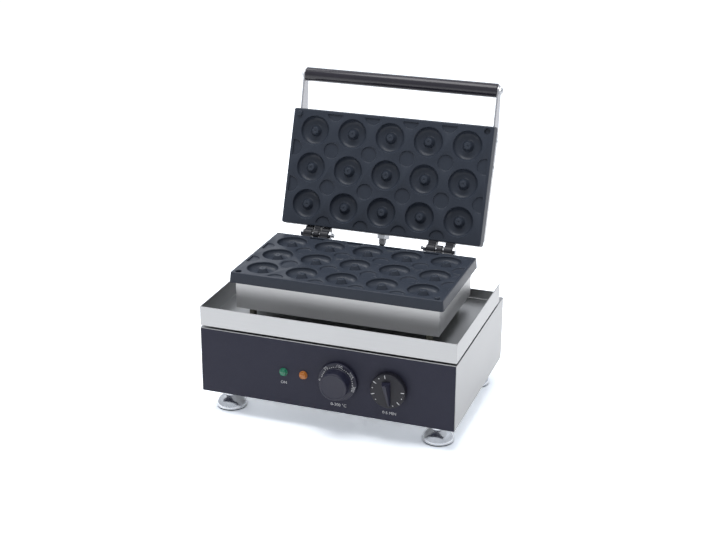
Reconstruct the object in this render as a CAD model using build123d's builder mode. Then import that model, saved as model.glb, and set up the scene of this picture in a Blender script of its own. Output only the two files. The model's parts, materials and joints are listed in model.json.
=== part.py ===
import os
from math import cos, radians, sin, tan

from build123d import *

os.makedirs("parts", exist_ok=True)

# Flats round the ring cavities, the feet and the lamp lenses
facet_sides = 20

# Base: a folded stainless box on four bell-shaped feet
base_width = 380.0
base_depth = 256.0
base_height = 99.5
foot_height = 32.5
sheet = 1.2
panel_thickness = 1.5
panel_flange = 12.0
foot_rim_radius = 23.3
foot_stages = [(6.0, 0.0), (4.5, 22.0), (9.5, 49.5), (12.5, 4.0)]
foot_spacing_x = 316.0
foot_spacing_y = 194.0
vent_width = 4.0
vent_length = 34.0
vent_pitch = 10.0
vents_per_group = 8
vent_group_spacing = 190.0
vent_height = 62.0

# Drip tray on the base
tray_gap = 3.0
tray_inset = 0.3
tray_depth = 230.0
tray_wall_height = 29.0
tray_rear_wall_height = 15.5
tray_strip_width = 20.0
tray_strip_length = 300.0

# Baking plates: one casting, used face up below and face down in the lid
plate_length = 316.4
plate_depth = 176.5
plate_thickness = 15.5
plate_draft = 5.0
plate_corner_radius = 3.0
plate_top = 207.5
plate_setback = 36.0
plate_gap = 0.3
cavity_columns = 5
cavity_rows = 3
cavity_pitch_x = 60.2
cavity_pitch_y = 56.4
cavity_radius = 22.3
cavity_flare = 24.0
cavity_depth = 10.5
cavity_post_root_radius = 11.0
cavity_post_flare = 27.0
cavity_post_drop = 0.6
peg_radius = 4.0
peg_height = 3.0
peg_hole_radius = 4.6
peg_hole_depth = 4.0
peg_spacing_x = 295.0
peg_from_hinge_edge = 168.9

# Heater boxes behind the plates
box_inset = 6.5
box_height = 41.0
strip_length = 284.0
strip_width = 40.0
strip_thickness = 8.0
strip_tab_length = 8.0
strip_tab_width = 12.0
strip_tab_thickness = 2.0
wool_thickness = 30.0
wool_length = 236.0
bulb_length = 120.0
bulb_radius = 4.0
post_across_flats = 10.0
post_spacing_x = 266.0
post_spacing_y = 130.0

# Hinges between the plates
open_angle = 110.0
hinge_offset = 12.0
hinge_spacing = 196.0
knuckle_radius = 6.5
knuckle_pitch = 13.4
knuckle_width = 13.0
single_knuckle_width = 8.6
lug_top = 0.5
lug_foot = 14.3
pin_radius = 3.0
pin_running_gap = 0.05
pin_head_flats = 10.0
pin_head_height = 4.5
pin_nut_height = 5.0
pin_thread_end = 4.0
pin_end_gap = 0.3
stop_top = 4.0
stop_foot = 12.0
stop_root_turn = 30.0
stop_gap = 0.25

# Handle on the lid
arm_thickness = 2.5
arm_root = 115.0
arm_root_front = 18.5
arm_back = 42.0
arm_root_radius = 8.0
arm_shoulder = 190.0
arm_end_radius = 8.0
arm_clearance = 0.6
grip_radius = 10.5
grip_along = 243.3
grip_behind = 20.0
cap_nut_flats = 11.0
cap_nut_height = 5.0

# Flexible lead sleeve from the base to the lid
sleeve_radius = 4.5
gland_flats = 18.0
gland_cap_flats = 11.5
gland_heights = {"lid": (14.0, 8.0), "base": (10.0, 3.0)}
gland_behind = 25.0
sleeve_bends_from_hinge = [(16.6, -29.0), (16.4, -44.0)]
base_gland_from_hinge = 18.0
sleeve_lead = 4.0
sleeve_sides = 10
sleeve_runs = 10

# Controls on the front panel
control_height = 50.0
lamp_x = (-62.0, -32.0)
lamp_radius = 6.2
lamp_height = 6.0
lamp_bevel = 2.6
lamp_body_size = 12.0
lamp_body_length = 24.0
thermostat_x = 20.5
timer_x = 95.5
knob_gap = 0.8
temperature_skirt_radius = 28.5
temperature_skirt_height = 5.5
temperature_cap_radius = 20.6
temperature_knob_height = 23.2
timer_disc_radius = 25.5
timer_disc_height = 9.5
timer_bar_root = 14.5
timer_bar_tip = 21.0
timer_root_width = 13.0
timer_tip_width = 4.0
timer_crest_width = 5.0
timer_bar_slope = 1.2
timer_tip_rise = 3.0
timer_rest_turn = 8.0
timer_knob_height = 21.0
shaft_radius = 3.0
shaft_bore_gap = 0.05
shaft_end_gap = 1.0
shaft_in_switch = 18.0
shaft_hole_radius = 5.0
thermostat_size = (36.0, 28.0, 40.0)
timer_size = (48.0, 36.0, 48.0)
terminal_size = (74.0, 24.0, 20.0)
terminal_from_rear = 72.0
terminal_poles = 5
terminal_slot = (8.0, 10.0)

# Mains lead inlet on the rear wall
inlet_x = -120.0
inlet_height = 30.0
inlet_flats = 22.0
inlet_nut_height = 7.0
inlet_cap_flats = 17.0
inlet_cap_height = 10.0
inlet_bore_radius = 4.5

# The lid's rear reach and the knob's front reach set the middle of the whole machine
lid_lean = radians(180.0 - open_angle)
along_y, along_z = cos(lid_lean), sin(lid_lean)
face = -plate_gap / 2
back = face - plate_thickness
box_floor = back - box_height
plate_mid = hinge_offset + plate_depth / 2
box_far_edge = hinge_offset + plate_depth - box_inset
lid_rear_reach = box_far_edge * along_y - box_floor * along_z
knob_reach = knob_gap + temperature_knob_height
hinge_from_front = plate_setback + plate_depth + hinge_offset
front_y = knob_reach - (knob_reach + hinge_from_front + lid_rear_reach) / 2
rear_y = front_y + base_depth
middle_y = front_y + base_depth / 2
hinge_y = front_y + hinge_from_front
hinge_z = plate_top + plate_gap / 2
deck_z = foot_height + base_height
tray_floor_z = deck_z + tray_gap

# Both halves are drawn from the hinge axis: x along it, y towards the handle side, z out of the baking face
lower_half = Plane(origin=(0, hinge_y, hinge_z), x_dir=(-1, 0, 0), z_dir=(0, 0, 1))
lid_half = Plane(origin=(0, hinge_y, hinge_z), x_dir=(1, 0, 0), z_dir=(0, -along_z, along_y))
panel_plane = Plane(origin=(0, front_y, foot_height), x_dir=(1, 0, 0), z_dir=(0, -1, 0))
rear_plane = Plane(origin=(0, rear_y, foot_height), x_dir=(-1, 0, 0), z_dir=(0, 1, 0))
halves = {"lower": lower_half, "upper": lid_half}


def side_plane(half, x):
    return Plane(origin=half.from_local_coords((x, 0, 0)), x_dir=half.y_dir, z_dir=half.x_dir)


# Base housing: deck, sides and rear wall in one folded sheet, open at the front and below
with BuildPart() as base_housing:
    with BuildSketch(Plane.XY.offset(foot_height)):
        with Locations((0, middle_y)):
            Rectangle(base_width, base_depth)
    extrude(amount=base_height)
    front_opening = base_housing.faces().sort_by(Axis.Y)[0]
    floor_opening = base_housing.faces().sort_by(Axis.Z)[0]
    offset(amount=-sheet, openings=[front_opening, floor_opening])
    with BuildSketch(rear_plane):
        with Locations((0, vent_height)):
            with GridLocations(vent_group_spacing, 0, 2, 1):
                with GridLocations(vent_pitch, 0, vents_per_group, 1):
                    Rectangle(vent_width, vent_length)
        with Locations((-inlet_x, inlet_height)):
            Circle(inlet_bore_radius)
    extrude(amount=-sheet, mode=Mode.SUBTRACT)
base_housing.part.label = "base_housing"
export_step(base_housing.part, "parts/base_housing.step")

# Front panel: black plate set flush between the sides, with folded top and bottom flanges
panel_width = base_width - 2 * sheet
panel_height = base_height - sheet
with BuildPart() as front_panel:
    with BuildSketch(panel_plane):
        with Locations((0, panel_height / 2)):
            Rectangle(panel_width, panel_height)
    extrude(amount=-panel_thickness)
    with BuildSketch(panel_plane.offset(-panel_thickness)):
        for flange_z in (panel_thickness / 2, panel_height - panel_thickness / 2):
            with Locations((0, flange_z)):
                Rectangle(panel_width, panel_thickness)
    extrude(amount=-panel_flange)
    with BuildSketch(panel_plane):
        with Locations((thermostat_x, control_height), (timer_x, control_height)):
            Circle(shaft_hole_radius)
    extrude(amount=-panel_thickness, mode=Mode.SUBTRACT)
front_panel.part.label = "front_panel"
export_step(front_panel.part, "parts/front_panel.step")

# Bottom plate with cooling slots
floor_depth = base_depth - sheet - panel_thickness - panel_flange
with BuildPart() as bottom_plate:
    with BuildSketch(Plane.XY.offset(foot_height)):
        with Locations((0, rear_y - sheet - floor_depth / 2)):
            Rectangle(panel_width, floor_depth)
            with GridLocations(vent_pitch, 0, vents_per_group, 1):
                Rectangle(vent_width, vent_length, mode=Mode.SUBTRACT)
    extrude(amount=sheet)
bottom_plate.part.label = "bottom_plate"
export_step(bottom_plate.part, "parts/bottom_plate.step")

# Bell feet, one under each corner: each stage is a height and the taper of its side
with BuildPart() as feet:
    with BuildSketch():
        with Locations((0, middle_y)):
            with GridLocations(foot_spacing_x, foot_spacing_y, 2, 2):
                RegularPolygon(foot_rim_radius, facet_sides)
    for stage_height, stage_taper in foot_stages:
        extrude(amount=stage_height, taper=stage_taper)
        add(feet.faces().group_by(Axis.Z)[-1])
feet.part.label = "feet"
export_step(feet.part, "parts/feet.step")

# Insulating strips that carry the tray clear of the deck
tray_front = front_y + tray_inset
with BuildPart() as tray_strips:
    with BuildSketch(Plane.XY.offset(deck_z)):
        with Locations((0, hinge_y - plate_mid)):
            with GridLocations(0, post_spacing_y, 1, 2):
                Rectangle(tray_strip_length, tray_strip_width)
    extrude(amount=tray_gap)
tray_strips.part.label = "tray_strips"
export_step(tray_strips.part, "parts/tray_strips.step")

# Drip tray: an open pan with a lower rear wall
tray_width = base_width - 2 * tray_inset
with BuildPart() as drip_tray:
    with BuildSketch(Plane.XY.offset(tray_floor_z)):
        with Locations((0, tray_front + tray_depth / 2)):
            Rectangle(tray_width, tray_depth)
    extrude(amount=tray_wall_height)
    offset(amount=-sheet, openings=drip_tray.faces().sort_by(Axis.Z)[-1])
    with BuildSketch(Plane.XY.offset(tray_floor_z + tray_rear_wall_height)):
        with Locations((0, tray_front + tray_depth - sheet / 2)):
            Rectangle(tray_width - 2 * sheet, sheet)
    extrude(amount=tray_wall_height, mode=Mode.SUBTRACT)
drip_tray.part.label = "drip_tray"
export_step(drip_tray.part, "parts/drip_tray.step")

# Hexagonal posts that hold the lower heater box above the tray floor
post_foot_z = tray_floor_z + sheet
post_height = hinge_z + box_floor - post_foot_z
for side, post_x in (("left", -post_spacing_x / 2), ("right", post_spacing_x / 2)):
    for end, post_y in (("front", -post_spacing_y / 2), ("rear", post_spacing_y / 2)):
        with BuildPart() as support_post:
            with BuildSketch(Plane.XY.offset(post_foot_z)):
                with Locations((post_x, hinge_y - plate_mid + post_y)):
                    RegularPolygon(post_across_flats / 2, 6, major_radius=False)
            extrude(amount=post_height)
        support_post.part.label = f"support_post_{end}_{side}"
        export_step(support_post.part, f"parts/support_post_{end}_{side}.step")

# One ring cavity: a flared bowl, cut mouth up, and the tapered post that stands on its floor
with BuildPart() as cavity_bowl:
    with BuildSketch():
        RegularPolygon(cavity_radius, facet_sides)
    extrude(amount=cavity_depth, taper=cavity_flare)

with BuildPart() as cavity_post:
    with BuildSketch():
        RegularPolygon(cavity_post_root_radius, facet_sides)
    extrude(amount=cavity_depth - cavity_post_drop, taper=cavity_post_flare)

# Baking plates: drafted castings with ring cavities, a locating peg and the hole for the other plate's peg
for half_name, half in halves.items():
    with BuildPart(half.offset(face)) as baking_plate:
        with BuildSketch(half.offset(face)):
            with Locations((0, plate_mid)):
                RectangleRounded(plate_length, plate_depth, plate_corner_radius)
        extrude(amount=-plate_thickness, taper=-plate_draft)
        with Locations((0, plate_mid)):
            with GridLocations(cavity_pitch_x, cavity_pitch_y, cavity_columns, cavity_rows):
                add(cavity_bowl.part, rotation=(180, 0, 0), mode=Mode.SUBTRACT)
        with Locations((0, plate_mid, -cavity_depth)):
            with GridLocations(cavity_pitch_x, cavity_pitch_y, cavity_columns, cavity_rows):
                add(cavity_post.part)
        with Locations((peg_spacing_x / 2, hinge_offset + peg_from_hinge_edge)):
            Hole(peg_hole_radius, depth=peg_hole_depth)
        with Locations((-peg_spacing_x / 2, hinge_offset + peg_from_hinge_edge)):
            Cylinder(peg_radius, peg_height, align=(Align.CENTER, Align.CENTER, Align.MIN))
    baking_plate.part.label = f"{half_name}_plate"
    export_step(baking_plate.part, f"parts/{half_name}_plate.step")

# Heater boxes: folded pans closed by the plates
box_length = plate_length - 2 * box_inset
box_depth = plate_depth - 2 * box_inset
for half_name, half in halves.items():
    with BuildPart() as heater_box:
        with BuildSketch(half.offset(back)):
            with Locations((0, plate_mid)):
                Rectangle(box_length, box_depth)
        extrude(amount=-box_height)
        mouth = heater_box.faces().sort_by(Axis(half.origin, half.z_dir))[-1]
        offset(amount=-sheet, openings=mouth)
    heater_box.part.label = f"{half_name}_heater_box"
    export_step(heater_box.part, f"parts/{half_name}_heater_box.step")

# Flat strip heaters under each row of cavities, with a terminal tab at both ends
for half_name, half in halves.items():
    with BuildPart() as heater_strips:
        for size in (
            (strip_length, strip_width, strip_thickness),
            (strip_length + 2 * strip_tab_length, strip_tab_width, strip_tab_thickness),
        ):
            with BuildSketch(half.offset(back)):
                with Locations((0, plate_mid)):
                    with GridLocations(0, cavity_pitch_y, 1, cavity_rows):
                        Rectangle(size[0], size[1])
            extrude(amount=-size[2])
    heater_strips.part.label = f"{half_name}_heater_strips"
    export_step(heater_strips.part, f"parts/{half_name}_heater_strips.step")

# Mineral wool slabs that press the strips against the plates
wool_top = back - strip_thickness
for half_name, half in halves.items():
    with BuildPart() as insulation:
        with BuildSketch(half.offset(wool_top)):
            with Locations((0, plate_mid)):
                with GridLocations(0, cavity_pitch_y, 1, cavity_rows):
                    Rectangle(wool_length, strip_width)
        extrude(amount=-wool_thickness)
    insulation.part.label = f"{half_name}_insulation"
    export_step(insulation.part, f"parts/{half_name}_insulation.step")

# Thermostat bulb in the channel between two strips, against the lower plate
bulb_axis = (0, plate_mid + cavity_pitch_y / 2, back - bulb_radius)
with BuildPart() as thermostat_bulb:
    with BuildSketch(Plane(origin=lower_half.from_local_coords(bulb_axis), z_dir=lower_half.x_dir)):
        Circle(bulb_radius)
    extrude(amount=bulb_length / 2, both=True)
thermostat_bulb.part.label = "thermostat_bulb"
export_step(thermostat_bulb.part, "parts/thermostat_bulb.step")


# Side views of the hinge: the drafted plate edge at a depth under the face, and the same edge on the open lid
def plate_edge(depth):
    return (hinge_offset - depth * tan(radians(plate_draft)), face - depth)


def open_lid_edge(depth):
    reach, level = plate_edge(depth)
    return (level * along_z - reach * along_y, reach * along_z + level * along_y)


# Hinge lugs: a pair on one side of a plate and one on the other, so that two equal halves interleave.
# The paired lugs run on behind the pin as stops, which the edge of the other plate meets when the lid is open
lug_outline = [
    (0, -knuckle_radius),
    plate_edge(lug_foot),
    plate_edge(lug_top),
    (0, face - lug_top),
]
stop_near_x, stop_near_y = open_lid_edge(stop_top)
stop_far_x, stop_far_y = open_lid_edge(stop_foot)
stop_root_x = -knuckle_radius * sin(radians(stop_root_turn))
stop_root_y = knuckle_radius * cos(radians(stop_root_turn))
stop_outline = [
    (stop_root_x, stop_root_y),
    (stop_near_x, stop_near_y - stop_gap),
    (stop_far_x, stop_far_y - stop_gap),
    (stop_far_x, -knuckle_radius / 2),
    (stop_root_x, -stop_root_y),
]
single_x = -hinge_spacing / 2
paired_x = (hinge_spacing / 2 - knuckle_pitch, hinge_spacing / 2 + knuckle_pitch)
bore_radius = {"lower": pin_radius, "upper": pin_radius + pin_running_gap}
for half_name, half in halves.items():
    with BuildPart() as hinge_leaves:
        for lug_x in (single_x, *paired_x):
            lug_width = knuckle_width if lug_x in paired_x else single_knuckle_width
            with BuildSketch(side_plane(half, lug_x - lug_width / 2)):
                with BuildLine():
                    Polyline(*lug_outline, close=True)
                make_face()
                if lug_x in paired_x:
                    with BuildLine():
                        Polyline(*stop_outline, close=True)
                    make_face()
                Circle(knuckle_radius)
                Circle(bore_radius[half_name], mode=Mode.SUBTRACT)
            extrude(amount=lug_width)
    hinge_leaves.part.label = f"{half_name}_hinge_leaves"
    export_step(hinge_leaves.part, f"parts/{half_name}_hinge_leaves.step")

# Hinge pins: bolts with the head at the outer end, a nut and a thread end at the inner end
pin_reach = knuckle_pitch + knuckle_width / 2 + pin_end_gap
with BuildPart() as hinge_pins:
    for mirror_sign in (-1, 1):
        pin_plane = Plane(
            origin=(mirror_sign * hinge_spacing / 2, hinge_y, hinge_z),
            x_dir=(0, 0, 1),
            z_dir=(mirror_sign, 0, 0),
        )
        with BuildSketch(pin_plane.offset(pin_reach)):
            RegularPolygon(pin_head_flats / 2, 6, major_radius=False)
        extrude(amount=pin_head_height)
        with BuildSketch(pin_plane.offset(pin_reach)):
            Circle(pin_radius)
        extrude(amount=-2 * pin_reach - pin_nut_height - pin_thread_end)
        with BuildSketch(pin_plane.offset(-pin_reach)):
            RegularPolygon(pin_head_flats / 2, 6, major_radius=False)
        extrude(amount=-pin_nut_height)
hinge_pins.part.label = "hinge_pins"
export_step(hinge_pins.part, "parts/hinge_pins.step")

# Handle arms: straps on the sides of the lid box that taper beyond it and end round the grip's bolt
arm_inner_x = box_length / 2
arm_outer_x = arm_inner_x + arm_thickness
grip_centre = (grip_along, -grip_behind)
for side, arm_x in (("left", -arm_outer_x), ("right", arm_inner_x)):
    with BuildPart() as handle_arm:
        with BuildSketch(side_plane(lid_half, arm_x)) as arm_outline:
            with BuildLine():
                Polyline(
                    (arm_root, -arm_root_front),
                    (arm_root, -arm_back),
                    (arm_shoulder, -arm_back),
                    (grip_along, -grip_behind - arm_end_radius),
                    (grip_along, -grip_behind + arm_end_radius),
                    (arm_shoulder, back - arm_clearance),
                    close=True,
                )
            make_face()
            fillet(arm_outline.vertices().sort_by(Axis.X)[:2], arm_root_radius)
            with Locations(grip_centre):
                Circle(arm_end_radius)
        extrude(amount=arm_thickness)
    handle_arm.part.label = f"handle_arm_{side}"
    export_step(handle_arm.part, f"parts/handle_arm_{side}.step")

# Grip bar between the arms
grip_plane = side_plane(lid_half, 0)
with BuildPart() as handle_grip:
    with BuildSketch(grip_plane):
        with Locations(grip_centre):
            Circle(grip_radius)
    extrude(amount=arm_inner_x, both=True)
handle_grip.part.label = "handle_grip"
export_step(handle_grip.part, "parts/handle_grip.step")

# Cap nuts that hold the grip to the arms
with BuildPart() as handle_cap_nuts:
    for nut_face, nut_height in ((-arm_outer_x, -cap_nut_height), (arm_outer_x, cap_nut_height)):
        with BuildSketch(side_plane(lid_half, nut_face)):
            with Locations(grip_centre):
                RegularPolygon(cap_nut_flats / 2, 6, major_radius=False)
        extrude(amount=nut_height)
handle_cap_nuts.part.label = "handle_cap_nuts"
export_step(handle_cap_nuts.part, "parts/handle_cap_nuts.step")

# Glands of the lead sleeve, on the lid box's hinge side and on the deck
lid_gland_seat = (0, hinge_offset + box_inset, -gland_behind)
gland_planes = {
    "lid": Plane(
        origin=lid_half.from_local_coords(lid_gland_seat),
        x_dir=(1, 0, 0),
        z_dir=-lid_half.y_dir,
    ),
    "base": Plane(origin=(0, hinge_y + base_gland_from_hinge, deck_z), z_dir=(0, 0, 1)),
}
mouths = {}
leads = {}
for place, gland_plane in gland_planes.items():
    nut_height, cap_height = gland_heights[place]
    with BuildPart() as sleeve_gland:
        with BuildSketch(gland_plane):
            RegularPolygon(gland_flats / 2, 6, major_radius=False)
        extrude(amount=nut_height)
        with BuildSketch(gland_plane.offset(nut_height)):
            RegularPolygon(gland_cap_flats / 2, 6, major_radius=False)
        extrude(amount=cap_height)
    sleeve_gland.part.label = f"{place}_sleeve_gland"
    export_step(sleeve_gland.part, f"parts/{place}_sleeve_gland.step")
    mouths[place] = gland_plane.from_local_coords((0, 0, nut_height + cap_height))
    leads[place] = gland_plane.from_local_coords((0, 0, nut_height + cap_height + sleeve_lead))

# Lead sleeve: short straight runs along a gentle bow from the lid gland down to the deck gland
with BuildPart() as lead_sleeve:
    with BuildLine(Plane.YZ, mode=Mode.PRIVATE) as sleeve_curve:
        Spline(
            (leads["lid"].Y, leads["lid"].Z),
            *[(hinge_y + y, hinge_z + z) for y, z in sleeve_bends_from_hinge],
            (leads["base"].Y, leads["base"].Z),
            tangents=[(-along_y, -along_z), (0, -1)],
        )
    sleeve_points = [sleeve_curve.line @ (run / sleeve_runs) for run in range(sleeve_runs + 1)]
    with BuildLine() as sleeve_route:
        Polyline(mouths["lid"], *sleeve_points, mouths["base"])
    with BuildSketch(Plane(origin=sleeve_route.line @ 0, z_dir=sleeve_route.line % 0)):
        RegularPolygon(sleeve_radius, sleeve_sides)
    sweep(path=sleeve_route.line, transition=Transition.RIGHT)
lead_sleeve.part.label = "lead_sleeve"
export_step(lead_sleeve.part, "parts/lead_sleeve.step")

# Pilot lamps: a bevelled lens on the panel and a body behind it
for colour, lens_x in zip(("green", "amber"), lamp_x):
    with BuildPart() as lamp_lens:
        with BuildSketch(panel_plane):
            with Locations((lens_x, control_height)):
                RegularPolygon(lamp_radius, facet_sides)
        extrude(amount=lamp_height)
        chamfer(lamp_lens.faces().sort_by(Axis.Y)[0].edges(), length=lamp_bevel)
    lamp_lens.part.label = f"{colour}_lamp_lens"
    export_step(lamp_lens.part, f"parts/{colour}_lamp_lens.step")

with BuildPart() as lamp_bodies:
    with BuildSketch(panel_plane.offset(-panel_thickness)):
        with Locations(*[(x, control_height) for x in lamp_x]):
            Rectangle(lamp_body_size, lamp_body_size)
    extrude(amount=-lamp_body_length)
lamp_bodies.part.label = "lamp_bodies"
export_step(lamp_bodies.part, "parts/lamp_bodies.step")

# Thermostat and timer behind the panel, each with a blind shaft bore
switches = {
    "thermostat": (thermostat_x, thermostat_size),
    "timer": (timer_x, timer_size),
}
shaft_reach = panel_thickness + shaft_in_switch
for switch_name, (switch_x, switch_size) in switches.items():
    width, depth, height = switch_size
    with BuildPart() as switch_body:
        with BuildSketch(panel_plane.offset(-panel_thickness)):
            with Locations((switch_x, control_height)):
                Rectangle(width, height)
                Circle(shaft_radius + shaft_bore_gap, mode=Mode.SUBTRACT)
        extrude(amount=-shaft_in_switch - shaft_end_gap)
        with BuildSketch(panel_plane.offset(-shaft_reach - shaft_end_gap)):
            with Locations((switch_x, control_height)):
                Rectangle(width, height)
        extrude(amount=-depth + shaft_in_switch + shaft_end_gap)
    switch_body.part.label = f"{switch_name}_body"
    export_step(switch_body.part, f"parts/{switch_name}_body.step")

# Temperature knob: a dial skirt with a round cap, on its shaft
with BuildPart() as temperature_knob:
    for radius, height in (
        (temperature_skirt_radius, temperature_skirt_height),
        (temperature_cap_radius, temperature_knob_height),
        (shaft_radius, -knob_gap - shaft_reach),
    ):
        with BuildSketch(panel_plane.offset(knob_gap)):
            with Locations((thermostat_x, control_height)):
                Circle(radius)
        extrude(amount=height)
temperature_knob.part.label = "temperature_knob"
export_step(temperature_knob.part, "parts/temperature_knob.step")

# Pointer bar of the timer knob: its flanks lean in to a crest that falls towards the tip
bar_rise = timer_knob_height - timer_disc_height
crest_root = timer_bar_root - timer_bar_slope
with BuildPart() as timer_pointer:
    with BuildSketch(Plane.YZ):
        Polygon(
            (-timer_bar_tip, 0),
            (timer_bar_root, 0),
            (crest_root, bar_rise),
            (-timer_bar_tip, timer_tip_rise),
            align=None,
        )
    extrude(amount=timer_root_width / 2, both=True)
    for mirror_sign in (-1, 1):
        root_corner = Vector(mirror_sign * timer_root_width / 2, timer_bar_root, 0)
        along_foot = Vector(mirror_sign * timer_tip_width / 2, -timer_bar_tip, 0) - root_corner
        up_flank = Vector(mirror_sign * timer_crest_width / 2, crest_root, bar_rise) - root_corner
        flank = Plane(origin=root_corner, x_dir=along_foot, z_dir=along_foot.cross(up_flank) * mirror_sign)
        split(bisect_by=flank, keep=Keep.TOP)

# Timer knob: a round dial with its pointer bar, on its shaft
pointer_seat = panel_plane.offset(knob_gap + timer_disc_height).location
with BuildPart() as timer_knob:
    for radius, height in ((timer_disc_radius, timer_disc_height), (shaft_radius, -knob_gap - shaft_reach)):
        with BuildSketch(panel_plane.offset(knob_gap)):
            with Locations((timer_x, control_height)):
                Circle(radius)
        extrude(amount=height)
    with Locations(pointer_seat * Location((timer_x, control_height, 0), (0, 0, timer_rest_turn))):
        add(timer_pointer.part)
timer_knob.part.label = "timer_knob"
export_step(timer_knob.part, "parts/timer_knob.step")

# Terminal block on the bottom plate
with BuildPart() as terminal_block:
    with BuildSketch(Plane.XY.offset(foot_height + sheet)):
        with Locations((inlet_x, rear_y - terminal_from_rear)):
            Rectangle(terminal_size[0], terminal_size[1])
    extrude(amount=terminal_size[2])
    with BuildSketch(Plane.XY.offset(foot_height + sheet + terminal_size[2])):
        with Locations((inlet_x, rear_y - terminal_from_rear)):
            with GridLocations(terminal_size[0] / terminal_poles, 0, terminal_poles, 1):
                Rectangle(terminal_slot[0], terminal_slot[1])
    extrude(amount=-terminal_size[2] / 2, mode=Mode.SUBTRACT)
terminal_block.part.label = "terminal_block"
export_step(terminal_block.part, "parts/terminal_block.step")

# Mains lead inlet through the rear wall
with BuildPart() as lead_inlet:
    with BuildSketch(rear_plane):
        with Locations((-inlet_x, inlet_height)):
            RegularPolygon(inlet_flats / 2, 6, major_radius=False)
    extrude(amount=inlet_nut_height)
    with BuildSketch(rear_plane.offset(inlet_nut_height)):
        with Locations((-inlet_x, inlet_height)):
            RegularPolygon(inlet_cap_flats / 2, 6, major_radius=False)
    extrude(amount=inlet_cap_height)
    with BuildSketch(rear_plane):
        with Locations((-inlet_x, inlet_height)):
            Circle(inlet_bore_radius)
    extrude(amount=inlet_nut_height + inlet_cap_height, mode=Mode.SUBTRACT)
lead_inlet.part.label = "lead_inlet"
export_step(lead_inlet.part, "parts/lead_inlet.step")
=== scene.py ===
import json
from math import acos, cos, pi, radians, sin, tan

import bmesh
import bpy
from mathutils import Matrix, Vector

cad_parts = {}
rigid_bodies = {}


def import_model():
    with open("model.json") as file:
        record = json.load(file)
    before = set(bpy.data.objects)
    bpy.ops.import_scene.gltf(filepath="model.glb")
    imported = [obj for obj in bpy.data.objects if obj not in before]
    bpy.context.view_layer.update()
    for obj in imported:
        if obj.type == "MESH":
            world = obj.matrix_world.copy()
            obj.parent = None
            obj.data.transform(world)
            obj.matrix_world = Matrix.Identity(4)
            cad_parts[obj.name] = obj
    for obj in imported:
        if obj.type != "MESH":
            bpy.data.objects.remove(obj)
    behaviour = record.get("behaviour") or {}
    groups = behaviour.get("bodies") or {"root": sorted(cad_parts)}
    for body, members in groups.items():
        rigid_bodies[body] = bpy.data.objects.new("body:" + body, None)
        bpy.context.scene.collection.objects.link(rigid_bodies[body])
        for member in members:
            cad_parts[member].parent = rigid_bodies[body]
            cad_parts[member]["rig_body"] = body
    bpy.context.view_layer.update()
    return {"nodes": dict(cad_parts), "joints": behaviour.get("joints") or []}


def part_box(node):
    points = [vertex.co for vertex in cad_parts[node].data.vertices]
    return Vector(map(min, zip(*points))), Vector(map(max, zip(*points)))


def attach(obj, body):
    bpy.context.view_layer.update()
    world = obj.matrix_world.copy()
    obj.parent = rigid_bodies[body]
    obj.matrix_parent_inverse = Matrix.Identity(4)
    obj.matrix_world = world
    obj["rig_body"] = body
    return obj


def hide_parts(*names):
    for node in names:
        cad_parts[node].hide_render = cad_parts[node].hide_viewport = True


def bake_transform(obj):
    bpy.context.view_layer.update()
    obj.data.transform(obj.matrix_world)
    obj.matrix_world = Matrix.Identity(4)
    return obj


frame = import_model()
nodes = frame["nodes"]
mm = 0.001
print("frame loaded:", len(nodes), "nodes")


# Places: each turns millimetres drawn on its own axes into metres in the frame
def placeOn(origin, xAxis=(1, 0, 0), yAxis=(0, 1, 0), zAxis=(0, 0, 1)):
    place = Matrix((xAxis, yAxis, zAxis)).transposed().to_4x4()
    place.translation = Vector(origin)
    return place @ Matrix.Diagonal((mm, mm, mm, 1))


lidHinge = next(joint for joint in frame["joints"] if joint["name"] == "lid_hinge")
hingePoint = Vector(lidHinge["pos_m"])
lidLean = pi - radians(lidHinge["range_deg"][1])
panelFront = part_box("front_panel")[0].y
housingLow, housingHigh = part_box("base_housing")
# On the plates y runs to the handle side and z out of the baking face
lowerPlace = placeOn(hingePoint, (-1, 0, 0), (0, -1, 0), (0, 0, 1))
lidPlace = placeOn(hingePoint, (1, 0, 0), (0, cos(lidLean), sin(lidLean)), (0, -sin(lidLean), cos(lidLean)))
# On the panel and the rear wall y runs up and z out of the sheet
panelPlace = placeOn((0, panelFront, housingLow.z), (1, 0, 0), (0, 0, 1), (0, -1, 0))
rearPlace = placeOn((0, housingHigh.y, housingLow.z), (-1, 0, 0), (0, 0, 1), (0, 1, 0))


# Nodes and finishes
def hexColour(code):
    channels = [int(code[i:i + 2], 16) / 255 for i in (1, 3, 5)]
    return (*[c / 12.92 if c <= 0.04045 else ((c + 0.055) / 1.055) ** 2.4 for c in channels], 1.0)


def addNode(tree, kind, sockets=None, **settings):
    node = tree.nodes.new(kind)
    for name, value in settings.items():
        setattr(node, name, value)
    for name, value in (sockets or {}).items():
        if isinstance(value, bpy.types.NodeSocket):
            tree.links.new(value, node.inputs[name])
        else:
            node.inputs[name].default_value = value
    return node


def newFinish(name):
    finish = bpy.data.materials.new(name)
    finish.use_nodes = True
    finish.node_tree.nodes.clear()
    return finish, finish.node_tree


# Brushed stainless sheet: straight scratches in one direction, so reflections smear across them
brushing = {
    "width": 0.7, "length": 90.0,  # mm; a real scratch, 0.05 mm wide, is too fine to show
    "depth": 0.05, "bump": 0.06,
    "stroke": 70.0, "strokeShare": 0.35,  # broad uneven strokes of the brush
    "noiseLow": 0.35, "noiseHigh": 1.0,  # the noise from the smoothest to the dullest spot
}


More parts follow.
